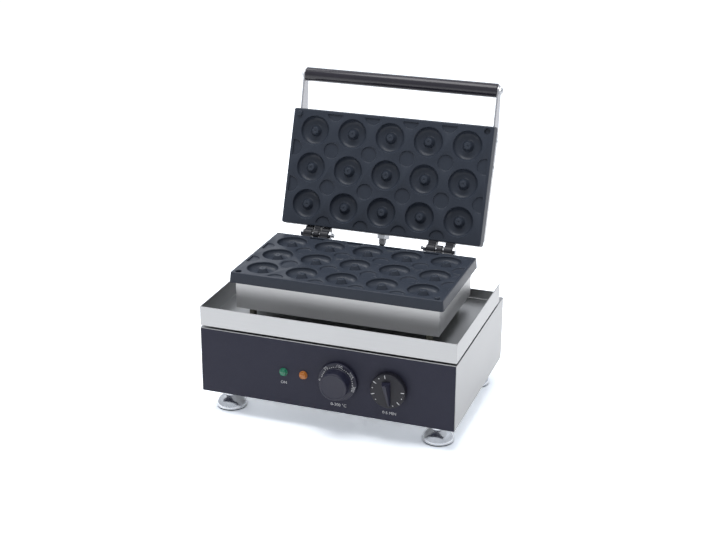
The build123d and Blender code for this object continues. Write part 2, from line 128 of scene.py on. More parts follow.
def brushedStainless(name, grainAxis, dark, light, smooth, dull):
    finish, tree = newFinish(name)
    along, across = 1 / (brushing["length"] * mm), 1 / (brushing["width"] * mm)
    scale = [along if axis == grainAxis else across for axis in "xyz"]
    coords = addNode(tree, "ShaderNodeTexCoord")
    lengthwise = addNode(tree, "ShaderNodeMapping", {"Vector": coords.outputs["Object"], "Scale": scale})
    scratch = addNode(tree, "ShaderNodeTexNoise", {
        "Vector": lengthwise.outputs[0], "Scale": 1.0, "Detail": 3.0, "Roughness": 0.6})
    stroke = addNode(tree, "ShaderNodeTexNoise", {
        "Vector": coords.outputs["Object"], "Scale": 1 / (brushing["stroke"] * mm), "Detail": 2.0})
    colour = addNode(tree, "ShaderNodeMix", {
        "Factor": scratch.outputs[0], "A": hexColour(dark), "B": hexColour(light)}, data_type="RGBA")
    worn = addNode(tree, "ShaderNodeMath", {
        0: stroke.outputs[0], 1: brushing["strokeShare"], 2: scratch.outputs[0]}, operation="MULTIPLY_ADD")
    rough = addNode(tree, "ShaderNodeMapRange", {
        "Value": worn.outputs[0], "From Min": brushing["noiseLow"], "From Max": brushing["noiseHigh"],
        "To Min": smooth, "To Max": dull})
    bump = addNode(tree, "ShaderNodeBump", {
        "Height": scratch.outputs[0], "Strength": brushing["bump"], "Distance": brushing["depth"] * mm})
    shader = addNode(tree, "ShaderNodeBsdfPrincipled", {
        "Base Color": colour.outputs["Result"], "Metallic": 1.0,
        "Roughness": rough.outputs[0], "Normal": bump.outputs[0]})
    addNode(tree, "ShaderNodeOutputMaterial", {"Surface": shader.outputs[0]})
    return finish


# Grained finish: one colour that drifts a little, with a fine grain in gloss and height
graining = {
    "drift": 40.0, "driftShare": 0.6,  # mm, and how far the slow drift moves the tone
    "noiseLow": 0.45, "noiseHigh": 1.15, "bump": 0.25, "coatRoughness": 0.12,
}


def grainedFinish(name, dark, light, grain, smooth, dull, lift, metallic=0.0, specular=0.5, coat=0.0):
    finish, tree = newFinish(name)
    coords = addNode(tree, "ShaderNodeTexCoord")
    fine = addNode(tree, "ShaderNodeTexNoise", {
        "Vector": coords.outputs["Object"], "Scale": 1 / (grain * mm), "Detail": 3.0, "Roughness": 0.55})
    broad = addNode(tree, "ShaderNodeTexNoise", {
        "Vector": coords.outputs["Object"], "Scale": 1 / (graining["drift"] * mm), "Detail": 2.0})
    drift = addNode(tree, "ShaderNodeMath", {
        0: broad.outputs[0], 1: graining["driftShare"], 2: fine.outputs[0]}, operation="MULTIPLY_ADD")
    noise = {"Value": drift.outputs[0], "From Min": graining["noiseLow"], "From Max": graining["noiseHigh"]}
    tone = addNode(tree, "ShaderNodeMapRange", {**noise, "To Min": 0.0, "To Max": 1.0})
    colour = addNode(tree, "ShaderNodeMix", {
        "Factor": tone.outputs[0], "A": hexColour(dark), "B": hexColour(light)}, data_type="RGBA")
    rough = addNode(tree, "ShaderNodeMapRange", {**noise, "To Min": smooth, "To Max": dull})
    bump = addNode(tree, "ShaderNodeBump", {
        "Height": fine.outputs[0], "Strength": graining["bump"], "Distance": lift * mm})
    shader = addNode(tree, "ShaderNodeBsdfPrincipled", {
        "Base Color": colour.outputs["Result"], "Roughness": rough.outputs[0], "Normal": bump.outputs[0],
        "Metallic": metallic, "Specular IOR Level": specular,
        "Coat Weight": coat, "Coat Roughness": graining["coatRoughness"]})
    addNode(tree, "ShaderNodeOutputMaterial", {"Surface": shader.outputs[0]})
    return finish


# Each brushed sheet: grain direction, dark and light colour, smoothest and dullest roughness
# Housing and tray: mid grey with long soft reflections
stainlessOuter = brushedStainless("brushedStainlessOuter", "x", "#AAABAC", "#B7B8B9", 0.36, 0.48)
stainlessTray = brushedStainless("brushedStainlessTray", "x", "#AAABAC", "#B6B7B8", 0.31, 0.41)
# Heater boxes: paler and duller sheet
stainlessBox = brushedStainless("brushedStainlessBox", "x", "#D0D0D0", "#DDDDDD", 0.42, 0.54)
# Handle arms: brushed lengthwise, so light runs up them
stainlessArm = brushedStainless("brushedStainlessArm", "z", "#B5B5B8", "#C2C2C5", 0.32, 0.42)
# Each grained finish: dark and light colour, grain in mm, smoothest and dullest roughness, grain height in mm
# Satin powder coat on the panel: even dark blue-black with a slight orange peel
powderCoat = grainedFinish("powderCoatBlack", "#2F3040", "#373847", 0.9, 0.40, 0.50, 0.03, specular=0.2)
# Non-stick coating sprayed on cast aluminium: slate colour, faint speckle, soft sheen
nonStick = grainedFinish(
    "nonStickOnCastAluminium", "#363C47", "#3F4550", 0.8, 0.28, 0.36, 0.04, specular=0.25)
# Chrome plate on turned feet: bright, with a wiping haze that softens what it mirrors
chromePlate = grainedFinish("chromePlate", "#D4D8DE", "#E1E5EA", 6.0, 0.18, 0.26, 0.0, metallic=1.0)
# Black oxide on the hinge castings: dull, slightly rough
blackOxide = grainedFinish("blackOxideCastSteel", "#25262B", "#313238", 0.6, 0.34, 0.52, 0.08)
# Zinc plate on screws, nuts and bolts: grey and satin bright
zincPlate = grainedFinish("zincPlatedSteel", "#B3B5B8", "#CDCFD2", 1.2, 0.20, 0.34, 0.02, metallic=1.0)
# Plain steel posts under the heat: dull, with a brown cast, darker than the zinc-plated parts
bluntSteel = grainedFinish("heatStainedSteel", "#77756A", "#8E8B7E", 2.0, 0.40, 0.55, 0.03, metallic=1.0)
# Grey polyamide necks of the glands: pale and satin, without a metal's gleam
glandNeck = grainedFinish("polyamideGrey", "#B4B4B6", "#C0C0C2", 0.8, 0.40, 0.52, 0.02)
# Phenolic grip: moulded and polished, so it carries one long streak of light
phenolic = grainedFinish("phenolicGrip", "#221F29", "#2A2732", 8.0, 0.17, 0.21, 0.0, coat=0.10)
# ABS knobs: fine moulded grain that takes the shine off
mouldedKnob = grainedFinish("mouldedAbsBlack", "#191A2D", "#212237", 0.5, 0.40, 0.52, 0.03)
# ABS timer dial: the same grain, darker and a little flatter, so that its print stands out
dialFace = grainedFinish("mouldedAbsDial", "#16161E", "#1E1E28", 0.5, 0.44, 0.56, 0.03, specular=0.4)
# Printed ink: flat white with slightly uneven cover
whiteInk = grainedFinish("screenPrintWhite", "#D6D7DA", "#F0F1F3", 0.4, 0.50, 0.65, 0.01)
# Polycarbonate lenses: saturated and glossy
greenLens = grainedFinish("polycarbonateGreen", "#0B7757", "#0F8462", 6.0, 0.16, 0.22, 0.0, coat=0.3)
amberLens = grainedFinish("polycarbonateAmber", "#C06C18", "#CC7A20", 6.0, 0.16, 0.22, 0.0, coat=0.3)
# Black polyamide of the ribbed sleeve, the inlet nut and the foot pads: dull black; on the foot pads it is
# painted contact shadow under the feet
polyamide = grainedFinish("polyamideBlack", "#18181B", "#232327", 0.8, 0.45, 0.60, 0.03)
# Pressed mica round the heater strips: brown flakes with a slight gleam
micaSheet = grainedFinish("pressedMica", "#7D735F", "#A39880", 2.0, 0.45, 0.60, 0.05)
# Mineral wool: matt cream fibre with a deep nap
mineralWool = grainedFinish("mineralWool", "#B5AC90", "#D6CEB4", 1.5, 0.85, 0.95, 0.4)
# Fibre board strips under the tray: dark and dry
fibreBoard = grainedFinish("fibreBoard", "#2B2825", "#3A3632", 1.0, 0.70, 0.85, 0.1)
# Drawn copper of the thermostat bulb: warm and fairly bright
copperTube = grainedFinish("drawnCopper", "#B06A45", "#C98560", 1.5, 0.25, 0.40, 0.02, metallic=1.0)
# Moulded bodies of the switches: plain dark grey
switchBody = grainedFinish("mouldedSwitchBody", "#3A3A3C", "#4A4A4D", 0.8, 0.45, 0.55, 0.03)
print("finishes made:", len(bpy.data.materials))

# Mesh helpers, all in millimetres
foldAngle = 32  # degrees; anything sharper counts as an edge
nearAxis = 1e-6  # a smaller radius is a point on the axis


def toMesh(bm, name):
    bmesh.ops.recalc_face_normals(bm, faces=bm.faces)
    mesh = bpy.data.meshes.new(name)
    bm.to_mesh(mesh)
    bm.free()
    return mesh


def shade(mesh, crease=foldAngle):
    mesh.polygons.foreach_set("use_smooth", [True] * len(mesh.polygons))
    mesh.set_sharp_from_angle(angle=radians(crease))
    return mesh


def softCorners(points, steps=5):
    line = []  # each point is x, y and the radius of its corner
    for i, (x, y, radius) in enumerate(points):
        here = Vector((x, y))
        if radius == 0:
            line.append(here)
            continue
        before = Vector(points[i - 1][:2]) - here
        after = Vector(points[(i + 1) % len(points)][:2]) - here
        before.normalize()
        after.normalize()
        half = acos(max(-1, min(1, before.dot(after)))) / 2
        start = here + before * radius / tan(half)
        end = here + after * radius / tan(half)
        middle = here + (before + after).normalized() * radius / sin(half)
        a, b = start - middle, end - middle
        turn = pi - 2 * half
        for k in range(steps + 1):
            f = k / steps
            line.append(middle + (a * sin((1 - f) * turn) + b * sin(f * turn)) / sin(turn))
    return line


def lathe(name, points, segments=64, steps=5):
    bm = bmesh.new()
    rings = []
    for r, z in softCorners(points, steps):
        if r < nearAxis:
            rings.append([bm.verts.new((0, 0, z))])
        else:
            rings.append([bm.verts.new((r * cos(2 * pi * k / segments), r * sin(2 * pi * k / segments), z))
                          for k in range(segments)])
    for low, high in zip(rings, rings[1:]):
        for k in range(segments):
            n = (k + 1) % segments
            corners = [low[k % len(low)], low[n % len(low)], high[n % len(high)], high[k % len(high)]]
            corners = [v for i, v in enumerate(corners) if v not in corners[:i]]
            if len(corners) > 2:
                bm.faces.new(corners)
    return toMesh(bm, name)


def skinned(bm, name, rings):
    for low, high in zip(rings, rings[1:]):
        for k in range(len(low)):
            n = (k + 1) % len(low)
            bm.faces.new((low[k], low[n], high[n], high[k]))
    bm.faces.new(reversed(rings[0]))
    bm.faces.new(rings[-1])
    return toMesh(bm, name)


def prism(name, levels):
    bm = bmesh.new()  # each level is its outline and height
    return skinned(bm, name, [[bm.verts.new((x, y, z)) for x, y in outline] for outline, z in levels])


def roundedBox(halfX, halfY, radius, steps=6):
    corners = ((halfX, -halfY), (halfX, halfY), (-halfX, halfY), (-halfX, -halfY))
    return softCorners([(x, y, radius) for x, y in corners], steps)


def hexOutline(flats):
    radius = flats / 2 / cos(pi / 6)
    return [(radius * cos(pi / 3 * k), radius * sin(pi / 3 * k)) for k in range(6)]


def moved(mesh, x=0.0, y=0.0, z=0.0, turn=None):
    mesh.transform(Matrix.Translation((x, y, z)) @ (turn or Matrix.Identity(4)))
    return mesh


def placed(mesh, place):
    mesh.transform(place)
    return mesh


def sideways(side):
    return Matrix.Rotation(side * pi / 2, 4, "Y")  # turns z to +x for side 1, to -x for side -1


def joined(name, meshes):
    bm = bmesh.new()
    for mesh in meshes:
        bm.from_mesh(mesh)
    mesh = bpy.data.meshes.new(name)
    bm.to_mesh(mesh)
    bm.free()
    return mesh


def addObject(data, name=None):
    thing = bpy.data.objects.new(name or data.name, data)
    bpy.context.scene.collection.objects.link(thing)
    return thing


def evaluated(thing):
    bpy.context.view_layer.update()
    mesh = bpy.data.meshes.new_from_object(thing.evaluated_get(bpy.context.evaluated_depsgraph_get()))
    bpy.data.objects.remove(thing)
    return mesh


def cutBy(mesh, cutters):
    thing = addObject(mesh)
    tools = [addObject(cutter) for cutter in cutters]
    for tool in tools:
        cut = thing.modifiers.new("cut", "BOOLEAN")
        cut.operation = "DIFFERENCE"
        cut.solver = "EXACT"
        cut.object = tool
    remaining = evaluated(thing)
    for tool in tools:
        bpy.data.objects.remove(tool)
    return remaining


def painted(mesh, finish):
    mesh.materials.clear()
    mesh.materials.append(finish)
    return mesh


def addPiece(name, mesh, body, finish, slot, *replaced):
    piece = addObject(painted(mesh, finish), name)
    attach(piece, body)
    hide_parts(*replaced)
    return piece


def softEdges(piece, width, segments=2):
    bevel = piece.modifiers.new("edges", "BEVEL")
    bevel.width = width * mm
    bevel.segments = segments
    bevel.limit_method = "ANGLE"
    bevel.angle_limit = radians(foldAngle)
    bevel.miter_outer = "MITER_ARC"
    normals = piece.modifiers.new("flats", "WEIGHTED_NORMAL")
    normals.keep_sharp = True
    return piece


# Geometry Nodes that repeat a part on a grid of points, or along an arc with its x axis pointing outwards
def newTree(name, inputs):
    tree = bpy.data.node_groups.new(name, "GeometryNodeTree")
    tree.interface.new_socket(name="Geometry", in_out="OUTPUT", socket_type="NodeSocketGeometry")
    for label, kind in {"Geometry": "Geometry", **inputs, "Finish": "Material"}.items():
        tree.interface.new_socket(name=label, in_out="INPUT", socket_type="NodeSocket" + kind)
    return tree, addNode(tree, "NodeGroupInput").outputs


def endTree(tree, given, geometry):
    real = addNode(tree, "GeometryNodeRealizeInstances", {"Geometry": geometry})
    coated = addNode(tree, "GeometryNodeSetMaterial", {
        "Geometry": real.outputs[0], "Material": given["Finish"]})
    addNode(tree, "NodeGroupOutput", {"Geometry": coated.outputs[0]})
    return tree


def partsOnGrid():
    tree, given = newTree("partsOnGrid", {
        "Columns": "Int", "Rows": "Int", "Pitch X": "Float", "Pitch Y": "Float", "Part": "Object"})
    spans = []
    for count, pitch in (("Columns", "Pitch X"), ("Rows", "Pitch Y")):
        gaps = addNode(tree, "ShaderNodeMath", {0: given[count], 1: 1.0}, operation="SUBTRACT")
        span = addNode(tree, "ShaderNodeMath", {0: gaps.outputs[0], 1: given[pitch]}, operation="MULTIPLY")
        spans.append(span.outputs[0])
    grid = addNode(tree, "GeometryNodeMeshGrid", {
        "Size X": spans[0], "Size Y": spans[1], "Vertices X": given["Columns"], "Vertices Y": given["Rows"]})
    part = addNode(tree, "GeometryNodeObjectInfo", {"Object": given["Part"]})
    copies = addNode(tree, "GeometryNodeInstanceOnPoints", {
        "Points": grid.outputs["Mesh"], "Instance": part.outputs["Geometry"]})
    return endTree(tree, given, copies.outputs[0])


def marksOnArc():
    tree, given = newTree("marksOnArc", {
        "Count": "Int", "Radius": "Float", "Start": "Float", "Sweep": "Float", "Part": "Object"})
    arc = addNode(tree, "GeometryNodeCurveArc", {
        "Resolution": given["Count"], "Radius": given["Radius"],
        "Start Angle": given["Start"], "Sweep Angle": given["Sweep"]})
    spots = addNode(tree, "GeometryNodeCurveToPoints", {"Curve": arc.outputs["Curve"]}, mode="EVALUATED")
    position = addNode(tree, "GeometryNodeInputPosition")
    outward = addNode(tree, "FunctionNodeAlignRotationToVector", {"Vector": position.outputs[0]}, axis="X")
    part = addNode(tree, "GeometryNodeObjectInfo", {"Object": given["Part"]})
    copies = addNode(tree, "GeometryNodeInstanceOnPoints", {
        "Points": spots.outputs["Points"], "Instance": part.outputs["Geometry"],
        "Rotation": outward.outputs[0]})
    return endTree(tree, given, copies.outputs[0])


gridTree = partsOnGrid()
arcTree = marksOnArc()


def throughTree(thing, tree, inputs):
    modifier = thing.modifiers.new(tree.name, "NODES")
    modifier.node_group = tree
    for item in tree.interface.items_tree:
        if item.in_out == "INPUT" and item.name in inputs:
            modifier[item.identifier] = inputs[item.name]
    return evaluated(thing)


def repeated(tree, name, part, finish, inputs):
    source = addObject(part)
    holder = addObject(bpy.data.meshes.new(name))
    mesh = throughTree(holder, tree, {"Part": source, "Finish": finish, **inputs})
    bpy.data.objects.remove(source)
    return mesh


def onGrid(name, part, finish, columns, rows, pitchX=1.0, pitchY=1.0):
    return repeated(gridTree, name, part, finish, {
        "Columns": columns, "Rows": rows, "Pitch X": pitchX, "Pitch Y": pitchY})


def onArc(name, part, finish, count, radius, start, sweep):
    return repeated(arcTree, name, part, finish, {
        "Count": count, "Radius": radius, "Start": radians(start), "Sweep": radians(sweep)})


# Baking plates: one rounded casting cut by ring moulds and by the shallow pockets between them
plate = {
    "length": 315.6, "depth": 176.5, "thickness": 15.5, "corner": 3.0, "crease": 28,
    "spread": 1.36, "edge": 1.6, "edgeSteps": 4, "backEdge": 0.5,  # draft towards the back, and rounded edges
    "hingeSide": 12.0, "face": -0.15,  # the plate's near edge and its face, from the hinge
    "columns": 5, "rows": 3, "pitchX": 60.2, "pitchY": 56.4,
    "above": 2.0, "skim": 0.05,  # top of the cutters, and where their sides begin to close in
    "mouth": 22.2, "rim": 0.8, "rimRound": 0.7, "troughDepth": 8.4, "trough": 13.2, "troughSteps": 12,
    "foot": 8.6, "fillet": 3.0, "post": 4.9, "postDrop": 0.6, "postRound": 0.8,  # radii of the ring's post
    "dimple": 1.6, "dimpleDepth": 0.8, "dimpleRound": 0.3, "ringSegments": 72,
    "pocketRadius": 12.3, "pocketSlope": 0.9, "pocketDepth": 2.0, "pocketFlare": 0.3, "pocketRim": 0.1,
    "pocketRound": 0.8, "pocketSegments": 48, "lip": 4.6,
    "pegX": 147.5, "pegY": 168.9, "peg": [(0, -1, 0), (4, -1, 0), (4, 3, 1.2), (0, 3, 0)],
    "pegHole": [(0, 2, 0), (5.2, 2, 0), (5.2, 0.1, 0), (4.6, -0.5, 0.3), (4.6, -4, 0), (0, -4, 0)],
    "pegSegments": 40,
}


def ringLine():
    above, mouth, rim, depth = (plate[key] for key in ("above", "mouth", "rim", "troughDepth"))
    wide, deep, steps = mouth - plate["trough"], depth - 2 * rim, plate["troughSteps"]
    bends = [pi / 2 * k / steps for k in range(steps + 1)]
    trough = [(mouth - wide * (1 - cos(bend)), -2 * rim - deep * sin(bend), 0) for bend in bends]
    crown = -plate["postDrop"]
    hollow = crown - plate["dimpleDepth"]
    return [
        (0, above, 0), (mouth + rim, above, 0), (mouth + rim, plate["skim"], 0),
        (mouth, -rim, plate["rimRound"]), *trough, (plate["foot"], -depth, plate["fillet"]),
        (plate["post"], crown, plate["postRound"]), (plate["dimple"], crown, plate["dimpleRound"]),
        (plate["dimple"] / 2, hollow, plate["dimpleRound"]), (0, hollow, 0)]


def pocketLine():
    above, r, depth = plate["above"], plate["pocketRadius"], plate["pocketDepth"]
    flared = r + plate["pocketFlare"]
    return [
        (0, above, 0), (flared, above, 0), (flared, plate["skim"], 0), (r, -plate["pocketRim"], 0),
        (r - plate["pocketSlope"], -depth, plate["pocketRound"]), (0, -depth, 0)]


# Pockets along one edge are cut off straight, so that a lip of the plate stays
def edgePockets(along, columns, rows, reach, space):
    room = space - plate["lip"]
    bm = bmesh.new()
    bm.from_mesh(lathe("edgePocket", pocketLine(), plate["pocketSegments"]))
    everything = bm.verts[:] + bm.edges[:] + bm.faces[:]
    bmesh.ops.bisect_plane(bm, geom=everything, plane_co=along * room, plane_no=along, clear_outer=True)
    bmesh.ops.contextual_create(bm, geom=[edge for edge in bm.edges if edge.is_boundary])
    clipped = toMesh(bm, "edgePocket")
    line = onGrid("edgePockets", clipped, nonStick, columns, rows, plate["pitchX"], plate["pitchY"])
    return moved(line, along.x * reach, along.y * reach)


def plateBlank(name, halfX, halfY):
    edge, steps, back = plate["edge"], plate["edgeSteps"], -plate["thickness"]
    swings = [pi / 2 * k / steps for k in range(steps + 1)]
    levels = [(edge * (1 - sin(swing)), -edge * (1 - cos(swing))) for swing in swings]
    levels.append((-plate["spread"], back + plate["backEdge"]))
    levels.append((plate["backEdge"] - plate["spread"], back))
    return prism(name, [(roundedBox(halfX - inset, halfY - inset, plate["corner"] - inset), z)
                        for inset, z in reversed(levels)])


def plateMesh(name):
    halfX, halfY = plate["length"] / 2, plate["depth"] / 2
    columns, rows, pitchX, pitchY = (plate[key] for key in ("columns", "rows", "pitchX", "pitchY"))
    outerX, outerY = columns * pitchX / 2, rows * pitchY / 2
    ring = lathe("ringMould", ringLine(), plate["ringSegments"])
    pocket = lathe("pocket", pocketLine(), plate["pocketSegments"])
    cutters = [
        onGrid("ringMoulds", ring, nonStick, columns, rows, pitchX, pitchY),
        onGrid("pockets", pocket, nonStick, columns - 1, rows - 1, pitchX, pitchY)]
    for sign in (-1, 1):
        cutters.append(edgePockets(Vector((sign, 0, 0)), 1, rows - 1, outerX, halfX - outerX))
    for sign in (-1, 1):
        cutters.append(edgePockets(Vector((0, sign, 0)), columns - 1, 1, outerY, halfY - outerY))
    pegHole = lathe("pegHole", plate["pegHole"], plate["pegSegments"])
    cutters.append(moved(pegHole, plate["pegX"], plate["pegY"] - halfY))
    casting = cutBy(plateBlank(name, halfX, halfY), [joined("plateCutters", cutters)])
    peg = moved(lathe("peg", plate["peg"], plate["pegSegments"]), -plate["pegX"], plate["pegY"] - halfY)
    return moved(joined(name, [casting, peg]), 0, plate["hingeSide"] + halfY, plate["face"])


for name, node, body, place in (("lowerPlate", "lower_plate", "base", lowerPlace),
                                ("upperPlate", "upper_plate", "lid", lidPlace)):
    casting = placed(plateMesh(name), place)
    addPiece(name, shade(casting, plate["crease"]), body, nonStick, "plate_coating", node)
print("plates cast")

# Sheet metal and hinges: the solids with rounded edges, in mm
# With longerThan, faces around punched holes stay simple and only edges longer than that are rounded
folds = {
    "merge": 0.002, "flat": 0.5,  # mm between corners that are one, degrees between faces that are one
    "housing": {"edge": 0.5, "longerThan": 45.0},
    "panel": {"edge": 0.35},
    "tray": {"edge": 0.4},
    "heaterBox": {"edge": 0.8, "longerThan": 20.0},
    "arm": {"edge": 0.5},
    "post": {"edge": 0.5},
    "hinges": {"edge": 0.7},
    "inlet": {"edge": 0.8, "longerThan": 0.0},
}


def softCopy(name, node, finish, slot, edge, longerThan=None):
    flat, fold = radians(folds["flat"]), radians(foldAngle)
    bm = bmesh.new()
    bm.from_mesh(nodes[node].data)
    bmesh.ops.remove_doubles(bm, verts=bm.verts, dist=folds["merge"] * mm)
    if longerThan is None:
        bmesh.ops.dissolve_limit(bm, angle_limit=flat, verts=bm.verts, edges=bm.edges)
    else:
        bmesh.ops.join_triangles(bm, faces=bm.faces, angle_face_threshold=flat, angle_shape_threshold=pi)
        weights = bm.edges.layers.float.new("bevel_weight_edge")
        for seam in bm.edges:
            seam[weights] = float(seam.calc_length() > longerThan * mm and seam.calc_face_angle(0) > fold)
    mesh = bpy.data.meshes.new(name)
    bm.to_mesh(mesh)
    bm.free()
    piece = softEdges(addPiece(name, shade(mesh), nodes[node]["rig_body"], finish, slot, node), edge)
    if longerThan is not None:
        piece.modifiers["edges"].limit_method = "WEIGHT"


softCopy("baseHousing", "base_housing", stainlessOuter, "stainless_sheet", **folds["housing"])
softCopy("frontPanel", "front_panel", powderCoat, "panel_black", **folds["panel"])
softCopy("dripTray", "drip_tray", stainlessTray, "stainless_sheet", **folds["tray"])
for half in ("lower", "upper"):
    softCopy(half + "HeaterBox", half + "_heater_box", stainlessBox, "stainless_sheet", **folds["heaterBox"])
for side in ("left", "right"):
    softCopy(side + "HandleArm", "handle_arm_" + side, stainlessArm, "stainless_sheet", **folds["arm"])
    for row in ("front", "rear"):
        post = f"support_post_{row}_{side}"
        softCopy(row + side.capitalize() + "Post", post, bluntSteel, "bright_steel", **folds["post"])
for half in ("lower", "upper"):
    softCopy(half + "Hinges", half + "_hinge_leaves", blackOxide, "hinge_black", **folds["hinges"])
softCopy("leadInlet", "lead_inlet", polyamide, "gland_black", **folds["inlet"])
print("sheet metal and hinges folded")

# Turned chrome feet, each on a thin dark pad that paints the contact shadow along the foot's rim
foot = {
    "spacingX": 316.0, "spacingY": 194.0, "segments": 72, "cornerSteps": 6,
    "line": [(0, 1.0, 0), (21.4, 1.0, 0), (22.7, 1.6, 0.6), (23.3, 3.4, 3.0), (22.4, 7.0, 10.0),
             (18.6, 12.2, 18.0), (10.6, 19.0, 5.0), (9.5, 32.5, 0), (0, 32.5, 0)],
    "shadowPad": [(0, 0, 0), (21.9, 0, 0), (22.4, 0.5, 0.2), (22.4, 1.3, 0), (0, 1.3, 0)],
}


def fourTurned(name, line, finish):
    low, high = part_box("feet")
    turned = lathe(name, line, foot["segments"], foot["cornerSteps"])
    four = onGrid(name, turned, finish, 2, 2, foot["spacingX"], foot["spacingY"])
    return shade(placed(four, placeOn(((low.x + high.x) / 2, (low.y + high.y) / 2, 0))))


addPiece("feet", fourTurned("feet", foot["line"], chromePlate), "base", chromePlate, "chrome", "feet")
# The dark pads are painted shadow: they stand for the contact shadow where each foot meets the floor
addPiece("footPads", fourTurned("footPads", foot["shadowPad"], polyamide), "base", polyamide, "gland_black")
print("feet turned")

# Grip bar and its cap nuts
grip = {
    "along": 243.3, "behind": 20.0, "radius": 10.5, "half": 151.7, "edge": 1.0, "segments": 64,
    "nutSeat": 154.2, "nutFlats": 11.0, "nutHeight": 2.8, "nutBreak": 0.5, "nutChamfer": 0.9,
    "nutDome": [(0, 2.0, 0), (4.6, 2.0, 0), (4.6, 2.9, 0), (3.9, 4.3, 1.6), (0, 5.0, 0)], "domeSegments": 40,
}


def capNut():
    wide, narrow = hexOutline(grip["nutFlats"]), hexOutline(grip["nutFlats"] - grip["nutChamfer"])
    height = grip["nutHeight"]
    flats = prism("nutFlats", [(wide, 0.0), (wide, height - grip["nutBreak"]), (narrow, height)])
    return joined("capNut", [flats, lathe("nutDome", grip["nutDome"], grip["domeSegments"])])


def onGripLine(mesh, x, side):
    return moved(mesh, x, grip["along"], -grip["behind"], sideways(side))


barLine = [(0, -grip["half"], 0), (grip["radius"], -grip["half"], grip["edge"]),
           (grip["radius"], grip["half"], grip["edge"]), (0, grip["half"], 0)]
gripBar = placed(onGripLine(lathe("gripBar", barLine, grip["segments"]), 0, 1), lidPlace)
addPiece("gripBar", shade(gripBar), "lid", phenolic, "grip_plastic", "handle_grip")
capNuts = joined("capNuts", [onGripLine(capNut(), side * grip["nutSeat"], side) for side in (-1, 1)])
addPiece("capNuts", shade(placed(capNuts, lidPlace)), "lid", zincPlate, "bright_steel", "handle_cap_nuts")
print("grip fitted")

# Cross-slotted screws on the arms, the lid's heater box and the rear wall
screw = {
    "head": [(0, 0, 0), (3.9, 0, 0), (3.9, 0.7, 0.3), (2.6, 2.1, 1.2), (0, 2.3, 0)], "segments": 32,
    "slotWidth": 0.9, "slotLength": 7.0, "slotDepth": 1.1, "slotTaper": 0.55, "slotOver": 0.4,
    "armX": 154.2, "armY": 149.3, "armPitch": 39.0, "armZ": -36.0,
    "lidPitchX": 180.6, "lidPitchY": 56.4, "boxHeight": 41.0, "lidSink": 1.15,
    "rearPitchX": 350.0, "rearPitchY": 76.0, "rearMiddle": 49.7,
}


def screwHead():
    top, taper = screw["head"][-1][1], screw["slotTaper"]
    width, length = screw["slotWidth"], screw["slotLength"]
    slots = []
    for x, y in ((width, length), (length, width)):
        wide = [(x / 2, -y / 2), (x / 2, y / 2), (-x / 2, y / 2), (-x / 2, -y / 2)]
        narrow = [(a * taper, b * taper) for a, b in wide]
        slots.append(prism("slot", [(narrow, top - screw["slotDepth"]), (wide, top + screw["slotOver"])]))
    return cutBy(lathe("screwHead", screw["head"], screw["segments"]), slots)


lidScrews = []
for side in (-1, 1):
    pair = onGrid("armScrews", screwHead(), zincPlate, 1, 2, pitchY=screw["armPitch"])
    lidScrews.append(moved(pair, side * screw["armX"], screw["armY"], screw["armZ"], sideways(side)))
boxBack = plate["face"] - plate["thickness"] - screw["boxHeight"]
boxScrews = onGrid("boxScrews", screwHead(), zincPlate, 2, 2, screw["lidPitchX"], screw["lidPitchY"])
lidScrews.append(moved(boxScrews, 0, plate["hingeSide"] + plate["depth"] / 2, boxBack + screw["lidSink"],
                       Matrix.Rotation(pi, 4, "X")))
lidScrews = placed(joined("lidScrews", lidScrews), lidPlace)
addPiece("lidScrews", shade(lidScrews), "lid", zincPlate, "bright_steel")
rearScrews = onGrid("rearScrews", screwHead(), zincPlate, 2, 2, screw["rearPitchX"], screw["rearPitchY"])
rearScrews = placed(moved(rearScrews, 0, screw["rearMiddle"]), rearPlace)
addPiece("rearScrews", shade(rearScrews), "base", zincPlate, "bright_steel")

# Hinge bolts: head at the outer end, nut and thread end at the inner end
bolt = {
    "x": 98.0, "reach": 20.2, "radius": 3.0, "flats": 10.0, "head": 4.5, "nut": 5.0, "bevel": 0.6,
    "end": 4.0, "pitch": 0.8, "threadDepth": 0.4, "tipChamfer": 0.7, "segments": 36,
}
bevelRise = 0.6  # height of a hexagon's bevel over its width


def hexBlock(name, flats, height, bevel):
    wide, narrow, rise = hexOutline(flats), hexOutline(flats - 2 * bevel), bevel * bevelRise
    return prism(name, [(narrow, 0), (wide, rise), (wide, height - rise), (narrow, height)])


def threadLine():
    radius, pitch, back = bolt["radius"], bolt["pitch"], -2 * bolt["reach"]
    line = [(0, back, 0), (radius, back, 0), (radius, bolt["nut"], 0)]
    for k in range(int(bolt["end"] / pitch) - 1):
        start = bolt["nut"] + k * pitch
        line += [(radius - bolt["threadDepth"], start + pitch / 2, 0), (radius, start + pitch, 0)]
    tip = bolt["nut"] + bolt["end"]
    return [*line, (radius - bolt["tipChamfer"], tip, 0), (0, tip, 0)]


def hingeBolt(side):
    head = hexBlock("boltHead", bolt["flats"], bolt["head"], bolt["bevel"])
    whole = joined("hingeBolt", [
        lathe("threadEnd", threadLine(), bolt["segments"]),
        hexBlock("boltNut", bolt["flats"], bolt["nut"], bolt["bevel"]),
        moved(head, z=-2 * bolt["reach"] - bolt["head"])])
    return moved(whole, side * (bolt["x"] - bolt["reach"]), turn=sideways(-side))


hingeBolts = placed(joined("hingeBolts", [hingeBolt(side) for side in (-1, 1)]), lowerPlace)
addPiece("hingeBolts", shade(hingeBolts), "base", zincPlate, "bright_steel", "hinge_pins")
print("screws and bolts driven")

